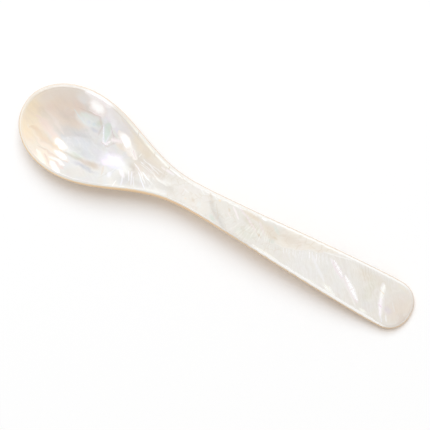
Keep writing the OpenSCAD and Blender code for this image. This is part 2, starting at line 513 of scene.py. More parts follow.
# %% The broad colours of the bowl
BOWL = (
    sheet("whole bowl", (-44, 0), (22, 15), 0, 0.35, 1.0, "E6E3E0"),
    sheet("cream crescent of the tip", (-57, -5), (10.5, 12), -25, 0.9, 1.0, "FFEED4"),
    sheet("duller cream, far side of the tip", (-57.5, 4), (5, 8), -20, 0.8, 0.9, "FFEED0"),
    sheet("tan far wall", (-50, 5.0), (9.0, 7.4), -8, 0.6, 1.0, "F1E2D6"),
    sheet("deeper tan towards the tip", (-54.3, 5.4), (3.8, 5), -25, 0.9, 0.8, "F3E3D2"),
    sheet("tan under the eye", (-47.2, 2.6), (6.4, 3.2), -8, 0.9, 1.0, "E2D4C8"),
    sheet("lilac grey floor", (-41, -1.6), (10.5, 4.4), -4, 0.7, 1.0, "CCC9C8"),
    sheet("grey by the band", (-39.6, -3.7), (6.6, 1.7), 0, 0.9, 0.9, "C2BFBA"),
    sheet("lilac towards the neck", (-36.5, -2.6), (5.5, 3.0), 0, 0.9, 0.9, "CAC7C6"),
    sheet("cool far wall", (-37.5, 8.0), (6, 3.0), -30, 0.7, 0.9, "F5F6FB"),
    sheet("grey by the far rim", (-46.8, 9.4), (2.7, 1.7), -10, 0.8, 0.95, "F4F5F5"),
    sheet("far wall near the rim", (-36.0, 10.2), (4.5, 1.7), -18, 0.7, 0.9, "F1EFE8"),
    sheet("pale near wall", (-48.5, -9.6), (8, 3.2), -14, 0.7, 0.9, "FBEEDC"),
    sheet("green grey near wall", (-36.5, -9.2), (8.5, 1.9), 12, 0.5, 0.9, "E3DFDA"),
    sheet("lilac strip on the near wall", (-37.3, -6.9), (5.2, 1.1), 4, 0.9, 0.9, "C9C7CB"),
)
colour = lay(face, place, colour, BOWL)
print(len(BOWL), "sheets in the bowl")

# %% [markdown]
# Over these lie the lines of the bowl. Light and dark ones flow from the tip, where the
# sheets were ground through at a low angle, and end in a zigzag on the near wall. Strokes
# that taper at both ends suit them.

# %% The lines that flow from the tip
FLOW = (
    cut("light flow from the tip", (-56.0, -0.4), (-45.5, -4.4), 1.7, 0.9, 0.8, "F8E6DB"),
    cut("light flow, upper", (-54.6, 1.8), (-46.6, -1.4), 0.8, 1.0, 0.6, "F4E8E0"),
    cut("light flow, lowest", (-56.4, -3.6), (-50.0, -7.2), 0.7, 1.0, 0.6, "FFF3E4"),
    cut("dark line above it", (-56.3, 1.6), (-47.5, -2.0), 1.4, 1.0, 0.4, "EADCCE"),
    cut("dark line below it", (-55.6, -3.7), (-45.6, -6.5), 1.7, 1.0, 0.6, "EDD4B8"),
    cut("light flow, lower", (-52.5, -6.2), (-45, -7.4), 0.9, 0.9, 0.8, "FAEADA"),
    cut("dark line, lower", (-51.5, -7.6), (-42, -8.3), 0.5, 1.0, 0.7, "E8D2C0"),
    sheet("soft end of the floor", (-46.2, -0.6), (3.4, 1.6), -12, 1.0, 0.8, "DDD5D0"),
    cut("zigzag, first", (-51.4, -8.7), (-47.0, -11.4), 0.9, 0.8, 1.0, "FFFCF0"),
    cut("zigzag, shade", (-48.8, -8.7), (-46.2, -10.8), 0.5, 0.9, 0.8, "EDD9CC"),
    cut("zigzag, second", (-47.8, -8.7), (-42.4, -9.3), 0.55, 0.8, 1.0, "FFFBF6"),
    cut("zigzag, second shade", (-46, -9.7), (-42, -10.2), 0.4, 0.8, 0.7, "ECD9D0"),
    cut("zigzag, third", (-46.6, -9.8), (-42.7, -11.6), 0.8, 0.6, 1.0, "FFFDF8"),
)
colour = lay(face, wander, colour, FLOW)
print(len(FLOW), "lines and zigzags flow from the tip")

# %% [markdown]
# Towards the far wall lies a blue green eye, where a deeper sheet shows through. It is a
# stack of small soft patches, each a little off the last in place and hue. They keep
# sharper edges, so they are read from the place that drifts least, as are the next two
# tables.

# %% The eye
EYE = (
    sheet("eye", (-42.5, 5.0), (5.0, 2.3), 6, 0.6, 0.95, "EBEFEF"),
    sheet("green of the eye", (-44.2, 5.6), (2.0, 0.9), 10, 0.9, 0.8, "EAF0EA"),
    sheet("blue of the eye", (-42.4, 4.5), (1.1, 0.8), 0, 1.0, 0.8, "E0E4EF"),
    sheet("blue green of the eye", (-40.9, 4.6), (1.0, 0.9), 0, 0.9, 0.8, "D9E4E8"),
    sheet("dark green of the eye", (-39.6, 5.5), (1.3, 1.5), -30, 0.9, 0.9, "DBE0D6"),
    sheet("blue below the eye", (-39.9, 3.3), (1.8, 0.9), -5, 1.0, 0.8, "CFD1DA"),
    sheet("dark spot below the eye", (-42.0, 2.3), (0.9, 0.7), 0, 0.8, 0.7, "D6D6D0"),
    cut("pale line under the eye", (-47.6, 5.8), (-43.0, 3.4), 0.35, 1.0, 0.6, "E8F1F2"),
    cut("brown line over the eye", (-47.0, 6.6), (-40.0, 7.2), 0.3, 0.9, 0.6, "E2D3CA"),
    cut("brown line past the eye", (-40.4, 7.1), (-38.2, 4.6), 0.6, 1.0, 0.5, "DFD3CB"),
    cut("its lower end", (-38.5, 5.4), (-38.5, 2.4), 0.5, 1.0, 0.5, "D6CBC6"),
)
colour = lay(face, crisp, colour, EYE)
print(len(EYE), "marks make the eye")

# %% [markdown]
# Beside the eye one sheet has been cut through, which leaves a facet shaped like a drop,
# with a white outline. A ray makes it, since it is pointed at one end and round at the
# other, and the outline is laid over it in strokes.

# %% The drop
DROP = (
    cut("lilac band", (-40.4, 9.4), (-33.0, 5.2), 1.1, 0.8, 0.9, "EFECF4"),
    sheet("lilac light", (-37.9, 8.2), (1.2, 0.6), -25, 0.8, 0.9, "F8F1FB"),
    cut("green band", (-38.4, 7.4), (-32.8, 4.2), 0.6, 1.0, 0.8, "EBF0EC"),
    ray("drop, its light edge", (-35.7, 0.6), (-36.7, 5.6), 1.75, 0.4, 0.9, "EFEFF4"),
    ray("drop", (-35.8, 1.2), (-37.0, 5.9), 1.45, 0.5, 1.0, "E0E9E2"),
    sheet("drop, green", (-36.0, 4.2), (1.3, 0.8), -62, 1.0, 0.8, "DAE6DF"),
    cut("drop, blue inside", (-38.2, 5.4), (-36.5, 2.1), 0.2, 0.9, 0.6, "CAD2DF"),
    cut("drop, left line", (-38.5, 5.8), (-36.2, 1.2), 0.26, 0.6, 1.0, "FBFBFF"),
    cut("drop, its foot", (-36.7, 1.5), (-34.7, 1.4), 0.26, 0.6, 1.0, "FFFAFA"),
    sheet("drop, its light", (-35.0, 2.2), (1.0, 0.42), 52, 0.6, 1.0, "FFF6F8"),
    cut("drop, shade under it", (-37.0, 1.3), (-34.4, 0.9), 0.2, 0.9, 0.7, "DACDC8"),
    cut("line right of the drop", (-36.4, 6.4), (-34.4, 4.0), 0.22, 1.0, 0.7, "DDD2D6"),
    cut("line right of the drop, lower", (-34.8, 4.6), (-33.3, 2.2), 0.22, 1.0, 0.8, "D6C9D0"),
)
colour = lay(face, crisp, colour, DROP)
print(len(DROP), "marks make the drop")

# %% [markdown]
# A brown band runs along the near side of the floor and starts green. It is wide and
# short, so patches make it, with one thin stroke beside them.

# %% The brown band
BAND = (
    sheet("green over the band", (-40.4, -4.9), (3.6, 0.6), 0, 0.9, 0.8, "CAD3C8"),
    cut("thin brown line", (-44.8, -5.9), (-36, -5.5), 0.6, 1.0, 0.6, "D2C6B8"),
    sheet("band, its green start", (-40.9, -5.4), (3.6, 1.3), 2, 0.9, 1.0, "CAC7B8"),
    sheet("brown band", (-36.6, -5.4), (4.2, 1.5), 4, 0.85, 1.0, "D3C5B7"),
)
colour = lay(face, crisp, colour, BAND)
print(len(BAND), "marks make the band")

# %% [markdown]
# Where the bowl runs into the neck, the shell is brown and tan on its far side and grey
# on its near side. These sheets lie under the creases, so they come first.

# %% The ground between bowl and neck
NECK_BASE = (
    sheet("brown of the fan", (-22.2, 1.0), (8.0, 4.7), -14, 0.6, 0.95, "E6DDD3"),
    sheet("tan above the point", (-27.4, 5.7), (4.0, 1.5), -28, 0.8, 1.0, "F1E2CC"),
    sheet("tan past the point", (-23.6, 4.0), (3.8, 1.3), -25, 0.9, 1.0, "DDCCB3"),
    sheet("pale below the fan", (-25.0, -4.0), (5.5, 2.6), 20, 0.8, 0.8, "D4CFCB"),
    sheet("shade where the neck starts", (-20.0, -2.4), (4.8, 2.5), 14, 0.9, 1.0, "CFC8C0"),
    sheet("beige past the blob", (-25.2, -1.5), (3.4, 1.7), -24, 0.9, 0.95, "D0C7BD"),
)
colour = lay(face, wander, colour, NECK_BASE)
print(len(NECK_BASE), "sheets between bowl and neck")

# %% [markdown]
# There the sheets meet in one point and crease into a fan. The longest creases are laid
# one by one, and a fan of noise adds the fine ones between them, only near that point.

# %% The fan of creases
CREASES = (
    cut("crease 1", (-24.8, 2.8), (-18.3, 0.9), 0.187, 0.8, 1, "FBF8F6"),
    cut("crease 2", (-24.8, 1.8), (-23.2, 1.3), 0.209, 0.8, 1, "F8F4F2"),
    cut("crease 3", (-23.2, 1.4), (-19.5, 0.4), 0.187, 0.8, 0.95, "F6F1EC"),
    cut("crease 4", (-26.1, 0.6), (-23.4, -0.8), 0.231, 0.8, 1, "FBF8F8"),
    cut("crease 5", (-23.1, -0.5), (-20.2, -1.7), 0.264, 0.8, 1, "F8F7F6"),
    cut("crease 6", (-20.8, -1.2), (-18.6, -2.6), 0.209, 0.8, 0.95, "EFECE8"),
    cut("crease 7", (-24.2, -0.8), (-20.1, -4.4), 0.242, 0.9, 0.95, "ECEAED"),
    cut("crease 8", (-19.7, -1.6), (-17.0, -3.0), 0.209, 0.8, 1, "FAF7F4"),
    cut("crease 9", (-19.9, 0.1), (-14.6, -1.0), 0.286, 0.8, 0.75, "F6F2EC"),
    cut("crease 10", (-25.5, 3.9), (-25.7, 2.4), 0.209, 0.8, 1, "FBF8F2"),
    cut("crease 11", (-25.0, 0.5), (-20.6, -3.1), 0.165, 0.8, 0.95, "F1EEEB"),
    cut("crease 12", (-24.6, 1.2), (-16.6, -0.4), 0.154, 0.8, 0.95, "F5F1EC"),
    cut("crease 13", (-24.6, 2.4), (-16.2, 1.7), 0.176, 0.8, 0.95, "F5F1EC"),
    cut("crease 14", (-23.6, 3.4), (-18.4, 2.6), 0.154, 0.8, 0.85, "F3EEE6"),
    cut("wisp 1", (-26.4, -2.0), (-25.0, -4.6), 0.3, 1.0, 0.7, "F4F1F6"),
    cut("wisp 2", (-25.6, -1.6), (-23.9, -5.4), 0.35, 1.0, 0.7, "F0EEF3"),
    cut("wisp 3", (-24.6, -2.8), (-22.9, -5.4), 0.3, 1.0, 0.7, "F0EEF1"),
    cut("wisp 4", (-27.4, -3.2), (-26.3, -6.8), 0.4, 1.0, 0.7, "F3F1F4"),
    cut("wisp 5", (-28.1, -5.9), (-28.3, -7.9), 0.25, 1.0, 0.9, "FDFCFA"),
    cut("wisp, shade 1", (-30.2, -3.2), (-32.6, -7.8), 0.3, 1.0, 0.8, "DFDAD4"),
    cut("wisp, shade 2", (-29.2, -2.4), (-30.4, -5.2), 0.25, 1.0, 0.8, "DCD9DA"),
    cut("wisp, shade 3", (-33.2, -4.0), (-32.4, -6.6), 0.5, 1.0, 0.7, "E0D5C8"),
    sheet("white triangle", (-27.6, -3.6), (1.8, 0.8), -35, 0.8, 0.8, "FAF4F9"),
    sheet("pale spot", (-30.6, -5.4), (0.9, 1.2), 10, 0.7, 0.8, "F4F1F6"),
)
FAN_POINT = (-25.9, 1.5, 0)
creases = use(face, fan_group, Place=crisp, Centre=FAN_POINT, Lines=14.0)
near_fan = use(face, patch_group, Place=crisp, Centre=(-20.5, -0.6, 0), Reach=(7.5, 4.6, 1000.0),
               Turn=0.3, Edge=0.8, Strength=0.4)
colour = tint(face, times(face, creases, near_fan), colour, "F5F1EC")
colour = lay(face, crisp, colour, CREASES)
print(len(CREASES), "creases laid by hand, the rest by noise round", FAN_POINT)

# %% [markdown]
# Under the far rim, from the bowl to the neck, the shell is brown and its edge has
# chipped white where it was ground. Short, crisp strokes in a row make the chips, with a
# few dark cracks across them.

# %% The chips under the far rim
FAR_RIM = (
    cut("brown under the far rim 1", (-35, 9.6), (-27.5, 6.6), 0.55, 0.9, 0.9, "E6D9C0"),
    cut("brown under the far rim 2", (-28.5, 7.2), (-21.5, 4.5), 0.5, 0.9, 0.9, "E6D9C2"),
    cut("brown under the far rim 3", (-22.5, 4.9), (-11, 2.7), 0.28, 0.9, 0.9, "DDCFB8"),
    cut("chip 1", (-33.4, 10.0), (-31.6, 9.2), 0.4, 0.5, 0.9, "F6F2DC"),
    cut("chip 2", (-31.9, 9.4), (-28.9, 8.2), 0.32, 0.5, 1.0, "FBF8EE"),
    cut("chip 3", (-28.7, 7.9), (-26.1, 6.8), 0.3, 0.5, 0.9, "F4EBDD"),
    cut("chip 4", (-26.4, 6.8), (-22.3, 5.3), 0.4, 0.5, 1.0, "F8F4E8"),
    cut("chip 5", (-22.1, 5.3), (-17.2, 3.8), 0.5, 0.5, 1.0, "FCF9F0"),
    cut("chip 6", (-16.9, 3.8), (-12.0, 3.0), 0.35, 0.5, 1.0, "F8F5EF"),
    cut("crack 1", (-29.1, 8.8), (-28.3, 7.0), 0.2, 0.8, 0.7, "D8C7AC"),
    cut("crack 2", (-22.4, 5.9), (-22.0, 4.7), 0.18, 0.8, 0.7, "D8C7AC"),
    cut("crack 3", (-17.2, 4.4), (-16.9, 3.3), 0.18, 0.8, 0.7, "DCCDB6"),
)
colour = lay(face, crisp, colour, FAR_RIM)
print(len(FAR_RIM), "marks under the far rim")

# %% [markdown]
# The neck is cream and mottled, with small pale flecks and cells where thin sheets end,
# and one pink painted highlight near its far side.

# %% The neck
NECK = (
    sheet("cream of the neck", (-8, 0), (9, 6), 0, 0.9, 0.9, "F2EDE6"),
    sheet("shade below the fan", (-16.6, -1.6), (5.6, 2.0), 10, 0.8, 1.0, "D6CFC5"),
    sheet("brown at the far side", (-20.8, 3.3), (4.0, 1.0), -10, 0.8, 0.8, "E2D7C8"),
    # Painted highlight: a pink glint near the far side of the neck.
    cut("pinkish light", (-19.1, 3.1), (-14.9, 2.8), 0.5, 0.9, 1.0, "FDF6F6"),
    sheet("pale strip, near side", (-15.5, -2.6), (4.5, 0.7), 8, 0.9, 0.6, "E3DCD5"),
    sheet("long cell", (-17.0, -0.4), (2.4, 0.5), -8, 0.4, 0.6, "EFEAE2"),
    cut("white fleck 1", (-11.2, 0.9), (-9.0, 0.5), 0.3, 0.8, 0.8, "F9F6F2"),
    cut("white fleck 2", (-12.4, 2.8), (-10.6, 2.4), 0.25, 0.6, 0.7, "F8F5F0"),
    cut("white fleck 3", (-6.8, 2.8), (-4.9, 2.1), 0.3, 0.9, 0.8, "FAF8F5"),
    sheet("orange fleck", (-9.3, -1.3), (0.5, 0.25), 0, 0.6, 0.8, "F5E3CF"),
    sheet("pale cell", (-5.2, -1.2), (0.8, 1.3), 20, 0.5, 0.7, "F0F0ED"),
    sheet("brown by the dark band", (-7.2, -0.6), (1.2, 0.6), -40, 0.8, 0.6, "E4D9CB"),
)
colour = lay(face, crisp, colour, NECK)
print(len(NECK), "marks on the neck")

# %% [markdown]
# A dark band slants across the middle of the handle. Past it come pink flashes, brown
# spots, and a green area in which fine upright lines will stand later on.

# %% The middle of the handle
MIDDLE = (
    cut("brown head of the band", (-4.0, 3.3), (-1.5, 0.2), 0.8, 1.0, 0.7, "DED3C3"),
    sheet("green under the band", (-0.3, -2.5), (1.9, 0.9), -30, 0.8, 0.9, "DCE2D8"),
    cut("dark slanting band", (-3.2, 1.4), (4.0, -3.6), 1.7, 1.0, 0.7, "DAD6CF"),
    cut("darkest of the band", (-1.9, -0.2), (3.2, -3.2), 0.7, 1.0, 0.4, "D0CBC4"),
    cut("brown line on the band", (-1.3, 1.5), (1.4, -2.0), 0.16, 0.9, 0.4, "D6C8B4"),
    sheet("yellow fleck", (-0.8, 2.6), (0.55, 0.4), 0, 0.8, 1.0, "F6E6CC"),
    cut("white by the yellow", (-2.4, 2.7), (-1.4, 2.5), 0.25, 0.6, 0.9, "F8F6F2"),
    sheet("green with upright lines", (9.6, -1.8), (5.2, 2.0), -4, 0.7, 0.95, "E7E6DC"),
    sheet("brown at the far rim", (9.2, 3.1), (4.4, 0.9), -5, 0.7, 0.9, "EADFCF"),
    sheet("brown mottle", (15.2, 1.6), (4.4, 2.3), -14, 0.7, 0.95, "E9DFD1"),
    sheet("brown spot 1", (12.9, -0.6), (1.4, 0.55), -25, 0.8, 0.9, "DDCDB6"),
    sheet("brown spot 2", (17.3, 0.8), (1.1, 0.4), -10, 0.8, 0.8, "DFD0B9"),
    sheet("brown spot 3", (2.6, 1.6), (0.8, 0.5), -40, 0.8, 0.7, "E0D2BE"),
    sheet("olive between the flashes", (9.5, 1.2), (4.8, 1.4), -10, 0.9, 0.8, "E1DACB"),
    cut("pink flash 1", (3.1, 3.0), (6.2, 0.5), 0.4, 0.9, 0.9, "FCF4F4"),
    cut("pink flash 2", (5.0, 3.4), (8.3, 2.0), 0.5, 1.0, 0.8, "F4E9E9"),
    cut("pink flash 3", (7.3, 2.5), (11.8, -0.1), 0.6, 1.0, 0.85, "F4E9E9"),
    cut("pink flash 4", (11.2, 2.9), (14.4, 0.0), 0.5, 1.0, 0.8, "EFE4E2"),
    cut("pink flash 5", (2.6, 0.8), (4.1, 0.0), 0.3, 0.8, 0.8, "F8EFEA"),
    cut("green sliver", (15.4, 3.5), (18.2, 2.0), 0.6, 0.8, 0.9, "E3E7E0"),
    cut("lilac sliver", (18.7, 2.1), (21.1, 0.4), 0.4, 0.8, 0.95, "F3F1F5"),
    sheet("green cell", (16.8, -0.4), (1.2, 0.65), 8, 0.4, 0.9, "E2E3D9"),
    cut("white by the far rim", (11.5, 4.0), (12.9, 3.7), 0.35, 0.6, 1.0, "FDFCF8"),
    cut("yellow white by the near rim", (12.4, -3.7), (20.5, -4.2), 0.55, 0.9, 1.0, "FFFDF4"),
)
colour = lay(face, crisp, colour, MIDDLE)
print(len(MIDDLE), "marks in the middle")

# %% [markdown]
# The wide end of the handle has a beige wedge on its far side, cut off along one wavy
# line. A patch has no such edge, so a float curve gives the height of that line for each
# place along the spoon, and the wedge is all that lies above it. In the ramps along the
# spoon, -60 is the tip of the bowl and 60 the end of the handle.

# %% The wedge of the handle's end
WEDGE_FROM = 15.0
WEDGE_TO = 39.0
WEDGE_LOW = -2.0
WEDGE_HIGH = 8.0
WEDGE_LINE = ((15, -0.9), (17.3, -0.5), (19.5, -0.35), (22, 0.25), (24.7, 1.05), (27.6, 2.75),
              (28.6, 2.7), (31.3, 4.1), (34, 5.1), (39, 7.5))

seen_x, seen_y = add(face, "SeparateXYZ", (crisp,)).outputs[:2]
share = add(face, "MapRange", (seen_x, WEDGE_FROM, WEDGE_TO)).outputs[0]
line = add(face, "FloatCurve", {"Value": share})
curve = line.mapping.curves[0]
spots = [((x - WEDGE_FROM) / (WEDGE_TO - WEDGE_FROM), (y - WEDGE_LOW) / (WEDGE_HIGH - WEDGE_LOW))
         for x, y in WEDGE_LINE]
curve.points[0].location = spots[0]
curve.points[1].location = spots[-1]
for spot in spots[1:-1]:
    curve.points.new(*spot)
line.mapping.update()
height = add(face, "MapRange", (line.outputs[0], 0.0, 1.0, WEDGE_LOW, WEDGE_HIGH)).outputs[0]
above = math_node(face, "SUBTRACT", seen_y, height)
inside = times(face, ramp(face, seen_x, 16.5, 19.5), ramp(face, seen_x, 37.5, 35.0))
wedge = times(face, ramp(face, above, -0.1, 0.15), inside)
beside = math_node(face, "ABSOLUTE", above)
edge_line = times(face, ramp(face, beside, 0.28, 0.08), inside)
print("the wedge line runs through", len(WEDGE_LINE), "places")

# %% [markdown]
# With the wedge's mask ready, the end of the handle is painted in the same way as the
# bowl: wide sheets of grey white, beige and olive first, then the wedge and its pale line.
# The small marks wait until the silk is on, so that it doesn't dull them.

# %% The sheets of the handle's end
END_BASE = (
    sheet("grey white of the end", (33, -1.5), (13, 6), 0, 0.6, 0.9, "EFEDE9"),
    sheet("beige end", (57, 0), (7, 7), 0, 0.9, 0.9, "EADED2"),
    sheet("shade at the very end", (58.6, -2.6), (2.6, 3.4), 0, 0.9, 0.6, "DCD0C4"),
    sheet("brown far side", (45, 3.8), (8.5, 2.4), -3, 0.8, 0.9, "E8E0D2"),
    sheet("pale far side", (39.5, 4.0), (3.5, 1.8), -10, 0.9, 0.7, "F4F1EC"),
    sheet("olive band", (46.7, 0.2), (2.0, 5.0), 8, 0.8, 0.9, "E5E2D5"),
    sheet("grey between the flashes", (47.5, -3.4), (4, 1.6), -10, 0.8, 0.7, "E9E7E4"),
    sheet("purple shade", (53.8, -1.8), (1.9, 1.9), 0, 0.9, 0.8, "E2DAE0"),
    sheet("pale by the end's far rim", (54.5, 5.4), (3.2, 0.7), -14, 0.8, 0.7, "F1EADC"),
)
colour = lay(face, wander, colour, END_BASE)
colour = tint(face, wedge, colour, "F0E8DC")
colour = tint(face, times(face, edge_line, 0.6), colour, "F6F2EC")
print(len(END_BASE), "sheets and the wedge on the end of the handle")

# %% [markdown]
# Between the laid marks, real nacre is never plain. Silk lines follow the growth: upright
# and fanning in the middle of the handle, in slanting arcs on its end, and wide and faint
# in the bowl. Each is stretched noise under a mask.

# %% Silk lines
SILK_DARK = 0.27
SILK_LIGHT = 0.48
BOWL_SILK = 0.12
WEDGE_SILK = 0.5
lines_middle = use(face, fan_group, Place=crisp, Centre=(12.5, 10.0, 0.0), Lines=32.0)
on_middle = use(face, patch_group, Place=wander, Centre=(12, -1.5, 0), Reach=(10.0, 3.6, 1000.0),
                Turn=0.0, Edge=0.6, Strength=0.8)
colour = tint(face, times(face, lines_middle, on_middle), colour, "F6F4EC")

lines_end = use(face, silk_group, Place=wander, Turn=math.radians(50), Length=9.0, Width=0.4)
below_wedge = times(face, ramp(face, seen_x, 20.0, 23.0), ramp(face, above, 0.2, -0.4),
                    ramp(face, seen_x, 58.0, 42.0, 0.25, 0.8))
dim = times(face, less(face, lines_end), below_wedge, SILK_DARK)
colour = tint(face, dim, colour, "DED8CF")
colour = tint(face, times(face, lines_end, below_wedge, SILK_LIGHT), colour, "F8F6F4")

silk_bowl = use(face, silk_group, Place=place, Turn=math.radians(24), Length=7.0, Width=0.9)
in_bowl = ramp(face, seen_x, -24.0, -32.0)
flow = times(face, math_node(face, "SUBTRACT", silk_bowl, 0.5), in_bowl)
colour = tint(face, ramp(face, flow, 0.0, 0.5, 0.0, BOWL_SILK), colour, "F6EFE8")
colour = tint(face, ramp(face, flow, 0.0, -0.5, 0.0, BOWL_SILK), colour, "D8CEC6")

grain = use(face, silk_group, Place=crisp, Turn=math.radians(-35), Length=3.0, Width=0.35)
colour = tint(face, times(face, grain, wedge, WEDGE_SILK), colour, "F8F4EE")
print("silk in the middle, on the end, in the bowl and in the wedge")

# %% [markdown]
# On the neck the sheets end in rounded outlines, like cells. The distance to the edge in a
# Voronoi pattern draws such lines, and a slow noise leaves them out in places, so that
# they don't look like a net. A mottle over the whole face, fainter in the bowl, takes the
# evenness out of the wide sheets.

# %% Outlines on the neck and a mottle all over
OUTLINE_SHARE = 0.3
cells = add(face, "TexVoronoi", {"Vector": wander, "Scale": 0.55},
            feature="DISTANCE_TO_EDGE").outputs[0]
spread = add(face, "TexNoise", {"Vector": plan, "Scale": 0.35, "Detail": 1.0}).outputs[0]
on_neck = times(face, ramp(face, seen_x, -22.0, -17.0), ramp(face, seen_x, 24.0, 18.0))
on_neck = math_node(face, "MAXIMUM", on_neck, wedge)
outline = times(face, ramp(face, cells, 0.09, 0.02), ramp(face, spread, 0.42, 0.6), on_neck)
colour = tint(face, times(face, outline, OUTLINE_SHARE), colour, "DCCFBC")

mottle = add(face, "TexNoise", {"Vector": place, "Scale": 0.9, "Detail": 3.0}).outputs[0]
mottle = times(face, math_node(face, "SUBTRACT", mottle, 0.5),
               ramp(face, seen_x, -24.0, -32.0, 1.0, 0.5))
colour = tint(face, ramp(face, mottle, 0.0, 0.25, 0.0, 0.25), colour, "F9F7F4")
colour = tint(face, ramp(face, mottle, 0.0, -0.25, 0.0, 0.18), colour, "DFD6CA")
print("outlines and mottle are on")

# %% [markdown]
# A slow change of hue, from pink through green to blue, is what makes nacre look pearly
# rather than painted. In the shell it comes from light that splits in thin sheets. That
# can't be baked into a colour, so a colour ramp over a wide noise stands for it, and
# multiplies the colour so far. It is faint everywhere, and least so in the bowl towards
# the neck.

# %% The change of hue
HUES = ((0.30, "FFF2F8"), (0.40, "FFFBF0"), (0.48, "FAFCF5"), (0.55, "F2FAFE"),
        (0.63, "F7F4FE"), (0.72, "FFF4F6"))
hue_noise = add(face, "TexNoise", {"Vector": wander, "Scale": 0.22, "Detail": 1.0}).outputs[0]
hues = add(face, "ValToRGB", (hue_noise,))
stops = hues.color_ramp.elements
for stop, (position, code) in ((stops[0], HUES[0]), (stops[1], HUES[-1])):
    stop.position = position
    stop.color = shade(code)
for position, code in HUES[1:-1]:
    stops.new(position).color = shade(code)
hue_share = times(face, ramp(face, seen_x, -46.0, -36.0, 0.15, 0.25),
                  ramp(face, seen_x, -18.0, -28.0, 0.4, 1.0))
pearl = add(face, "Mix", {0: hue_share, 6: colour, 7: hues.outputs[0]}, data_type="RGBA",
            blend_type="MULTIPLY")
colour = pearl.outputs[2]
print(len(HUES), "hues, from pink through green to blue")

# %% [markdown]
# The small marks of the handle's end are flashes, painted highlights where sheets rise to
# the surface and catch the light: a dashed one that slants across the handle, and a steep
# one near the end. Short strokes hang from the wedge line like a comb, and a loop makes
# them from their places. All are read from a place that drifts in short steps, so that
# their edges look torn.

# %% The comb and the flashes of the handle's end
COMB = tuple(
    cut("comb", (x, low - 0.1), (x + 0.5 * long, low - long), 0.2, 1.0, strong, "FDFBFB")
    for x, low, long, strong in (
        (20.4, -0.2, 1.6, 0.6), (21.2, 0.0, 1.2, 0.8), (21.9, 0.1, 2.2, 0.9), (22.9, 0.4, 1.4, 0.6),
        (23.6, 0.7, 1.8, 0.8), (24.6, 1.0, 1.3, 0.9), (25.3, 1.4, 2.6, 0.7), (26.2, 1.8, 1.6, 0.9),
        (27.0, 2.3, 2.2, 1.0), (27.8, 2.6, 2.8, 0.8), (28.9, 2.8, 2.4, 1.0), (29.6, 3.1, 3.2, 0.6),
        (30.5, 3.6, 2.2, 0.8), (31.5, 4.1, 3.0, 0.5)))
# The white flashes in this table are painted highlights.
FLASHES = (
    sheet("darker start of the wedge", (20.8, 2.4), (4.6, 1.9), 5, 0.9, 0.5, "E0D4C6"),
    cut("slanting flash, its bed", (32.6, 3.2), (45.6, -4.0), 1.1, 1.0, 0.8, "F6F2F0"),
    cut("second, fainter bed", (41.6, -2.2), (45.3, -5.2), 0.45, 0.8, 0.9, "F6F2EE"),
    cut("curved light", (27.6, 2.2), (30.8, -0.6), 0.5, 1.0, 0.7, "F7F6F7"),
    cut("curved light, lower", (29.6, 0.2), (34.6, -3.2), 0.8, 1.0, 0.6, "F6F5F6"),
    cut("slanting flash, upper, pink", (33.2, 3.0), (38.7, -0.4), 0.9, 1.0, 0.5, "F6E8EC"),
    cut("slanting flash, upper", (34.0, 3.2), (38.5, 0.2), 0.65, 0.8, 1.0, "FFFCFD"),
    cut("slanting flash, lower, pink", (38.6, 0.6), (45.4, -4.1), 1.0, 1.0, 0.6, "F6E8EA"),
    cut("slanting flash, lower", (38.7, 1.0), (45.2, -3.6), 0.85, 0.7, 1.0, "FFFEFE"),
    cut("dark cut 1", (34.6, 3.4), (34.2, 1.9), 0.12, 0.8, 0.9, "E8D8DC"),
    cut("dark cut 2", (35.7, 2.9), (35.2, 1.3), 0.1, 0.8, 0.8, "EADADE"),
    cut("dark cut 3", (37.0, 2.3), (36.5, 0.7), 0.1, 0.8, 0.9, "E8D8DC"),
    cut("dark cut 4", (38.6, 1.6), (38.2, -0.2), 0.16, 0.8, 0.8, "E8E2E8"),
    cut("dark cut 5", (40.8, 0.5), (40.2, -0.9), 0.09, 0.8, 0.7, "ECD8D4"),
    cut("dark cut 6", (42.6, -0.7), (41.8, -2.0), 0.09, 0.8, 0.7, "ECD8D4"),
    cut("small light before it", (33.4, 3.3), (33.9, 1.9), 0.3, 0.8, 0.9, "FAF6F8"),
    sheet("feathers by the near rim", (36.4, -4.6), (3.4, 0.8), -20, 0.9, 0.9, "FCFAF0"),
    cut("feather 1", (34.6, -3.8), (37.2, -5.2), 0.35, 0.9, 1.0, "FFFFFA"),
    cut("feather 2", (36.2, -3.8), (39.3, -5.5), 0.35, 0.9, 1.0, "FFFFFA"),
    sheet("feather 3", (47.6, -5.2), (1.9, 0.5), -8, 0.8, 0.95, "FFFEF6"),
    sheet("feather 4", (31.2, -4.8), (1.6, 0.4), -8, 0.7, 0.8, "F8F6EC"),
    cut("steep flash, bed", (48.9, 4.2), (52.9, -4.8), 1.4, 1.0, 0.9, "F6F2F0"),
    cut("steep flash, upper", (49.4, 3.9), (50.7, -0.6), 0.95, 0.8, 1.0, "FFFFFA"),
    cut("steep flash, lower", (50.2, 0.4), (52.5, -4.2), 0.75, 0.9, 1.0, "FFFAFD"),
    cut("break in the flash", (48.9, 2.1), (50.9, 1.4), 0.12, 0.8, 0.8, "EBD0AE"),
    cut("pink in the flash", (50.6, -1.6), (52.0, -2.0), 0.14, 0.9, 0.7, "E8C4DC"),
    cut("end of the flash", (52.2, -3.8), (53.9, -5.5), 0.25, 0.9, 0.9, "F4F3F8"),
    cut("small light 1", (53.8, -3.3), (54.9, -4.9), 0.3, 0.8, 1.0, "FAF8F6"),
    cut("small light 2", (53.6, 0.7), (55.7, -1.5), 0.25, 0.9, 0.7, "EFEBE8"),
    cut("light past the wedge", (30.8, 3.9), (38.6, 5.4), 0.35, 1.0, 0.9, "FBF9F5"),
)
torn = use(face, drift_group, Place=crisp, Size=0.6, Amount=0.3)
colour = lay(face, torn, colour, COMB + FLASHES)
print(len(COMB + FLASHES), "small marks on the end of the handle")
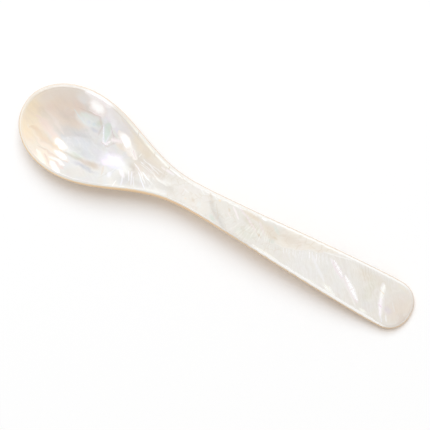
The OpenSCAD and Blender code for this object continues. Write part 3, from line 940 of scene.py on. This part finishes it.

# %% [markdown]
# The brightest marks of the bowl come last of all, so that nothing dulls them: painted
# highlights with a warm or pink fringe, where a sheet tilts towards the light. Most are two
# patches, the fringe first and the white heart over it. They are read from a place that
# drifts a little more, so that their outlines are uneven.

# %% The painted highlights of the bowl
HIGHLIGHT_MARKS = (
    sheet("brown under the light to the point", (-31.2, 3.0), (2.5, 1.2), -10, 0.5, 1.0, "ECE2D6"),
    sheet("brown down to the point", (-28.3, 2.2), (2.2, 0.8), -35, 0.6, 0.9, "E8DFD2"),
    cut("its tail", (-35.2, 0.6), (-32.6, 3.4), 0.45, 1.0, 0.7, "DCD3CD"),
    sheet("pink round the far light", (-41.8, 10.4), (5.6, 3.2), -12, 0.6, 1.0, "FFF9F8"),
    cut("light over the far light", (-46.9, 11.1), (-38.7, 10.6), 1.35, 0.8, 0.95, "FFFAFB"),
    sheet("its left end", (-45.8, 11.1), (0.9, 0.8), -40, 0.7, 0.9, "FFFBFC"),
    sheet("green gap in it", (-44.7, 10.6), (0.8, 0.4), -45, 0.9, 0.8, "DFE4DA"),
    cut("rose line 1", (-43.2, 11.2), (-40.6, 10.3), 0.22, 1.0, 0.8, "F3DDE5"),
    cut("rose line 2", (-41.6, 11.6), (-39.2, 9.8), 0.3, 1.0, 0.7, "F6DEE8"),
    cut("lilac streak past the far light", (-39.9, 10.6), (-35.2, 6.4), 1.3, 1.0, 1.0, "FBFBFF"),
    sheet("warm round the far light", (-42.1, 9.1), (4.0, 2.3), -12, 0.7, 0.9, "FFF5EE"),
    sheet("far light", (-42.15, 9.3), (2.8, 1.55), -16, 0.4, 1.0, "FFFFFF"),
    cut("rose under the far light", (-44.3, 8.3), (-39.6, 7.7), 0.7, 1.0, 0.8, "FFF9F9"),
    cut("white line under it", (-43.9, 7.5), (-39.4, 7.35), 0.2, 0.6, 1.0, "FFF4F6"),
    sheet("warm round the near light", (-46.7, -4.7), (3.5, 1.8), -20, 0.8, 0.95, "FBE9D0"),
    sheet("near light", (-46.5, -4.5), (2.7, 1.25), -20, 0.6, 1.0, "FFFFFF"),
    sheet("warm round the lower light", (-45.4, -7.1), (4.2, 1.2), -6, 0.8, 0.95, "FCECD9"),
    sheet("lower light", (-44.9, -7.1), (2.9, 0.9), -6, 0.6, 1.0, "FFFFFF"),
    cut("line between them", (-48.8, -5.5), (-43.0, -6.2), 0.22, 0.8, 0.6, "F2D9B8"),
    sheet("lilac round the blob", (-32.0, -1.6), (4.4, 2.9), 20, 0.9, 0.9, "E5DAE6"),
    sheet("pink below the blob", (-32.8, -2.8), (2.0, 1.1), 10, 0.9, 0.9, "F3E1F2"),
    cut("blue shade under the blob", (-32.0, -3.3), (-27.6, -2.2), 0.6, 1.0, 0.5, "DAD6E4"),
    sheet("pink white blob", (-30.9, -0.9), (3.3, 1.9), 8, 1.0, 1.0, "FDF9FD"),
    cut("light to the point, bed", (-34.0, 6.4), (-25.9, 1.6), 2.0, 0.8, 1.0, "FDF6F0"),
    sheet("light to the point", (-30.9, 4.8), (2.9, 1.4), -33, 0.4, 1.0, "FFFFFC"),
    ray("light, its tip", (-25.8, 1.5), (-29.4, 4.2), 1.0, 0.5, 1.0, "FFFCF8"),
    cut("light, left lobe", (-35.0, 3.1), (-31.6, 4.2), 1.2, 1.0, 0.9, "FFF6F6"),
    cut("pink line", (-28.2, 3.5), (-26.2, 1.8), 0.16, 0.9, 0.6, "EACFD4"),
)
uneven = use(face, drift_group, Place=crisp, Size=1.3, Amount=0.55)
colour = lay(face, uneven, colour, HIGHLIGHT_MARKS)
print(len(HIGHLIGHT_MARKS), "lights in the bowl")

# %% [markdown]
# The far wall of the bowl faces away from the softbox. On the real spoon, light that has
# entered the shell fills such a wall. Following that light would be slow and noisy, so
# the wall is painted lighter instead, by its distance from the rim: white in its middle
# and warmer at both ends. Just inside the rim runs a band of painted shade, which darkens
# the rounded top of the rim where it would catch too much light.

# %% The lifted far wall and the painted shade inside the rim
raw_y = add(face, "SeparateXYZ", (plan,)).outputs[1]
near = ramp(face, raw_y, 2.0, -2.0)
far_wall = times(face, ramp(face, rim, 6.0, 2.0), ramp(face, raw_y, 1.0, 4.0),
                 ramp(face, rim, 0.9, 1.4), ramp(face, seen_x, -60.0, -53.0, 0.3, 1.0),
                 ramp(face, seen_x, -15.0, -20.0, 0.0, 0.62))
lifted = blend(face, ramp(face, seen_x, -50.0, -45.0), shade("FFFAF4"), shade("FFFDFF"))
lifted = tint(face, ramp(face, seen_x, -33.0, -28.0), lifted, "FFF8EC")
colour = blend(face, far_wall, colour, lifted)

FAR_LIGHT_X = -42.8
from_light = math_node(face, "ABSOLUTE", math_node(face, "SUBTRACT", seen_x, FAR_LIGHT_X))
near_bowl = times(face, ramp(face, raw_y, 2.0, -4.0), ramp(face, seen_x, -57.0, -52.0))
lip_shade = times(face, ramp(face, rim, 0.3, 0.5), ramp(face, rim, 1.45, 0.95),
            ramp(face, raw_y, -5.0, 5.0, 0.25, 0.8), ramp(face, from_light, 3.0, 6.0, 0.05, 1.0),
            ramp(face, seen_x, -26.0, -36.0), less(face, near_bowl))
# Painted shade: the band just inside the rim is darkened.
colour = tint(face, lip_shade, colour, "DACFC2")
print("the far wall and the lip follow the rim")

# %% [markdown]
# All round the outline runs the cut edge of the shell: a thin line of the amber layer,
# with a painted glow of light through the shell on the near side, which makes it widest and
# deepest in colour under the neck. Inside it runs a bright white line, partly where the
# first pearly sheet ends and partly a painted highlight on the rounded edge. Both follow
# the rim attribute, with a little noise. The near side of the handle has a wider white band.

# %% The amber and white lines of the rim
ROUGH_RIM = 0.14
AMBER_SOFT = 0.08
rough = add(face, "TexNoise", {"Vector": plan, "Scale": 0.6, "Detail": 1.0}).outputs[0]
rough = math_node(face, "MULTIPLY_ADD", rough, ROUGH_RIM, -ROUGH_RIM / 2)
rim_place = math_node(face, "ADD", rim, rough)
on_handle = ramp(face, seen_x, 8.0, 16.0)
wide = times(face, near, on_handle, ramp(face, seen_x, 56.0, 48.0))
before_end = times(face, on_handle, ramp(face, seen_x, 54.0, 56.5, 1.0, 0.0))
neck_side = times(face, ramp(face, seen_x, -46.0, -22.0), ramp(face, seen_x, 14.0, -8.0))
near_neck = times(face, near, neck_side)

amber_width = ramp(face, seen_x, -24.0, 0.0, 0.38, 0.28)
amber_width = math_node(face, "MULTIPLY_ADD", near_neck, 0.3, amber_width)
white_width = math_node(face, "ADD", amber_width, ramp(face, seen_x, -24.0, 0.0, 0.1, 0.28))
white_width = math_node(face, "MULTIPLY_ADD", wide, 0.4, white_width)
# Partly painted highlight: the white line also stands for light caught by the rounded rim.
white_line = times(face,
                   ramp(face, rim_place, amber_width, math_node(face, "ADD", amber_width, 0.12)),
                   ramp(face, rim_place, math_node(face, "ADD", white_width, 0.3), white_width))
white_share = math_node(face, "ADD", math_node(face, "MULTIPLY_ADD", near, 0.35, 0.3),
                        times(face, before_end, 0.4))
white_share = math_node(face, "MULTIPLY_ADD", near_neck, 0.3, white_share)
colour = tint(face, times(face, white_line, white_share), colour, "FEFDFB")

# Painted glow: on the near side the amber edge is warmer and deeper, as if lit through the shell.
near_edge = times(face, near, ramp(face, seen_x, -59.0, -53.0, 0.3, 1.0))
amber_edge_and_glow = blend(face, near_edge, shade("ECE2D6"), shade("FFE8C4"))
amber_edge_and_glow = tint(face, near_neck, amber_edge_and_glow, "FFE2BA")
outside = ramp(face, rim_place, math_node(face, "ADD", amber_width, AMBER_SOFT),
               math_node(face, "SUBTRACT", amber_width, AMBER_SOFT))
colour = blend(face, outside, colour, amber_edge_and_glow)
face.links.new(colour, nacre_shader.inputs["Base Color"])
print("two lines follow the rim")

# %% [markdown]
# Only the whitest sheets of nacre mirror the room, and the rest is pale and soft. So one
# rule serves all the marks: the whiter the colour, the more it mirrors. On the far wall a
# mirror would only show the opposite wall, so it is left out there, and three painted
# highlights get a faint glow of their own: painted light that makes them shine. The coat
# is thinner where the bowl rises into the neck, because the real shell shows no bright
# reflection there. The silk of the handle's end also makes a slight bump.

# %% Gloss, mirror and glow
GLOW = (
    sheet("glow of the far light", (-42.15, 9.3), (3.0, 1.7), -16, 0.6, 1.0, "FFFFFF"),
    cut("glow of the light over it", (-46.9, 11.1), (-38.7, 10.7), 1.3, 0.9, 1.0, "A0A0A0"),
    sheet("glow of the light to the point", (-30.9, 4.8), (3.0, 1.5), -33, 0.6, 1.0, "FFFFFF"),
)
GLOW_LEVEL = 0.2
MIRROR_FROM = 0.9
MIRROR_MOST = 0.85
FAR_WALL_MIRROR = 0.1
SILK_BUMP = 0.05 * MM
channels = add(face, "SeparateColor", (colour,)).outputs
least = math_node(face, "MINIMUM", channels[0], channels[1])
least = math_node(face, "MINIMUM", least, channels[2])
mirror = times(face, ramp(face, least, MIRROR_FROM, 1.0, 0.0, MIRROR_MOST),
               ramp(face, far_wall, 0.0, 0.12, 1.0, FAR_WALL_MIRROR))
face.links.new(mirror, nacre_shader.inputs["Metallic"])
gloss = math_node(face, "MULTIPLY_ADD", mottle, 0.16, 0.2)
face.links.new(gloss, nacre_shader.inputs["Roughness"])
dull = use(face, patch_group, Place=crisp, Centre=(-25.4, -1.5, 0), Reach=(4.2, 2.2, 1000.0),
           Turn=0.42, Edge=0.9, Strength=0.36)
coat = math_node(face, "SUBTRACT", SHELL_COAT, dull)
face.links.new(coat, nacre_shader.inputs["Coat Weight"])
# The glow is painted light: an emission that brightens the three highlights on the far wall.
glow = lay(face, uneven, shade("000000"), GLOW)
face.links.new(glow, nacre_shader.inputs["Emission Color"])
nacre_shader.inputs["Emission Strength"].default_value = GLOW_LEVEL
bump = add(face, "Bump", {"Strength": 0.06, "Distance": SILK_BUMP, "Height": lines_end})
face.links.new(bump.outputs[0], nacre_shader.inputs["Normal"])
dress(nacre, nacre_material)

# %% [markdown]
# The underside is the older, outer layer of the shell: warm honey and cream in bands, one
# for each season of growth, under the same polish. The photograph doesn't show it, so it
# is made as such shells are: bands that bow round the bowl and run on along the handle.

# %% The amber material
SHELL_HINGE = (-74.0, -4.0, 0.0)
amber_material, back, amber_shader, plan, rim = start_material("amber shell")
bent = use(back, drift_group, Place=plan, Size=9.0, Amount=3.5)
fine = use(back, drift_group, Place=bent, Size=1.2, Amount=0.35)
reach = vector_node(back, "LENGTH", vector_node(back, "SUBTRACT", fine, SHELL_HINGE))
rings = add(back, "CombineXYZ", (reach,)).outputs[0]
season = add(back, "TexNoise", {"Vector": rings, "Scale": 0.45, "Detail": 4.0,
                                "Roughness": 0.65}).outputs[0]
colour = blend(back, ramp(back, season, 0.35, 0.65), shade("D9A36A"), shade("F1DCBD"))
sheen = use(back, silk_group, Place=fine, Turn=math.radians(80), Length=6.0, Width=0.5)
colour = tint(back, times(back, sheen, 0.3), colour, "F6EBDC")
pearly = add(back, "TexNoise", {"Vector": bent, "Scale": 0.12, "Detail": 2.0}).outputs[0]
colour = tint(back, ramp(back, pearly, 0.45, 0.62, 0.0, 0.75), colour, "F0E9E2")
# Near the rim the amber is deeper: partly the layer's own colour, partly a painted glow of light
# through the thin edge.
colour = tint(back, ramp(back, rim, 1.0, 0.3, 0.0, 0.7), colour, "F3CD9C")
back.links.new(colour, amber_shader.inputs["Base Color"])
gloss = math_node(back, "MULTIPLY_ADD", sheen, 0.14, 0.22)
back.links.new(gloss, amber_shader.inputs["Roughness"])
dress(amber, amber_material)

# %% [markdown]
# The spoon lies on a white table that fades into a white room. The table keeps the
# spoon's shadow, and a little brightness that only the camera and reflections see lifts
# it to the white of the picture.

# %% The white table
FLOOR_REACH = 3.0
FLOOR_LIFT = 0.06
TABLE_WHITE = (0.93, 0.93, 0.93, 1)
floor_mesh = bmesh.new()
bmesh.ops.create_grid(floor_mesh, x_segments=1, y_segments=1, size=FLOOR_REACH)
floor_data = bpy.data.meshes.new("floor")
floor_mesh.to_mesh(floor_data)
floor_mesh.free()
floor = bpy.data.objects.new("floor", floor_data)
bpy.context.scene.collection.objects.link(floor)


def seen_ray(tree):
    """1 for rays that carry the background to the eye: straight, mirrored or through."""
    rays = add(tree, "LightPath").outputs
    both = math_node(tree, "MAXIMUM", rays["Is Camera Ray"], rays["Is Glossy Ray"])
    return math_node(tree, "MAXIMUM", both, rays["Is Transmission Ray"])


floor_material = bpy.data.materials.new("white table")
floor_material.use_nodes = True
tree = floor_material.node_tree
tree.nodes.clear()
matt = add(tree, "BsdfDiffuse", {"Color": TABLE_WHITE})
lift = add(tree, "Emission", {"Strength": times(tree, seen_ray(tree), FLOOR_LIFT)})
both = add(tree, "AddShader", (matt.outputs[0], lift.outputs[0]))
add(tree, "OutputMaterial", (both.outputs[0],))
floor_data.materials.append(floor_material)
print("table", 2 * FLOOR_REACH, "m wide")

# %% [markdown]
# One wide softbox stands high behind the far side, and the white room fills the rest.
# In the photograph the shadow is warm, tinted by light that has come through the shell.
# Here the fill is made a little warm and the softbox as much cooler, so that the two
# together give one plain level, just over white, and only the shadow keeps the tint.

# %% The softbox
CAMERA_AZIMUTH = 28.4
FILL = (0.52, 0.45, 0.38)
PLAIN_LEVEL = 1.008
KEY_AZIMUTH = CAMERA_AZIMUTH + 190
KEY_ELEVATION = 58
KEY_DISTANCE = 3.0
KEY_SIZE = 2.3


def direction(azimuth, elevation):
    """A unit vector from the spoon, by compass angle and height in degrees."""
    a, e = math.radians(azimuth), math.radians(elevation)
    return Vector((math.sin(a) * math.cos(e), -math.cos(a) * math.cos(e), math.sin(e)))


def softbox(name, azimuth, elevation, distance, size, level, colour):
    """Add a square lamp that lights a white table to the level given."""
    lamp = bpy.data.lights.new(name, "AREA")
    lamp.shape = "SQUARE"
    lamp.size = size
    lamp.color = colour
    spread = (1 + (size / distance) ** 2 / 6) ** 2
    lamp.energy = level * spread * (math.pi * distance) ** 2 / math.sin(math.radians(elevation))
    stand = bpy.data.objects.new(name, lamp)
    bpy.context.scene.collection.objects.link(stand)
    away = direction(azimuth, elevation)
    turn = away.to_track_quat("Z", "Y").to_matrix().to_4x4()
    stand.matrix_world = Matrix.Translation(away * distance) @ turn
    print(name, "at", azimuth, "and", elevation, "degrees,", round(lamp.energy), "W")


rest = [PLAIN_LEVEL - part for part in FILL]
key_tint = tuple(part / max(rest) for part in rest)
softbox("key softbox", KEY_AZIMUTH, KEY_ELEVATION, KEY_DISTANCE, KEY_SIZE, max(rest), key_tint)

# %% [markdown]
# The room around the table is one even shell of light. It shines on the spoon with the
# fill's colour and strength, but straight rays, mirrored rays and rays through glass see
# it plain white, as the background of the photograph is.

# %% The white room
world = bpy.data.worlds.new("studio")
bpy.context.scene.world = world
world.use_nodes = True
tree = world.node_tree
tree.nodes.clear()
fill = add(tree, "Background", {"Color": FILL + (1,)})
white = add(tree, "Background", {"Color": (1, 1, 1, 1)})
room = add(tree, "MixShader", (seen_ray(tree), fill.outputs[0], white.outputs[0]))
add(tree, "OutputWorld", (room.outputs[0],))
print("the fill shines with", FILL)

# %% [markdown]
# The photograph looks straight down, through a long lens: the spoon's far end is drawn at
# the same scale as its near end. The camera stands where the field of view, worked out
# from the scale of the picture, fills its frame.

# %% The camera
PICTURE_PX = 430
PX_PER_MM = 3.682
ELEVATION = 90
LENS = 180
SENSOR = 36
NEAREST = 0.01
FARTHEST = 20
AIM = Vector((-0.07, -1.44, 5.0)) * MM
camera_data = bpy.data.cameras.new("camera")
camera_data.lens = LENS
camera_data.sensor_width = SENSOR
camera = bpy.data.objects.new("camera", camera_data)
bpy.context.scene.collection.objects.link(camera)
toward = direction(CAMERA_AZIMUTH, ELEVATION)
upward = direction(CAMERA_AZIMUTH, ELEVATION + 90)
field = PICTURE_PX / PX_PER_MM * MM
camera.rotation_mode = "QUATERNION"
camera.location = AIM + toward * (field * LENS / SENSOR)
axes = Matrix((upward.cross(toward), upward, toward))
camera.rotation_quaternion = axes.transposed().to_quaternion()
camera_data.clip_start = NEAREST
camera_data.clip_end = FARTHEST
bpy.context.scene.camera = camera
bpy.context.scene.view_settings.view_transform = "Standard"
print("camera", round(field * LENS / SENSOR, 3), "m away")
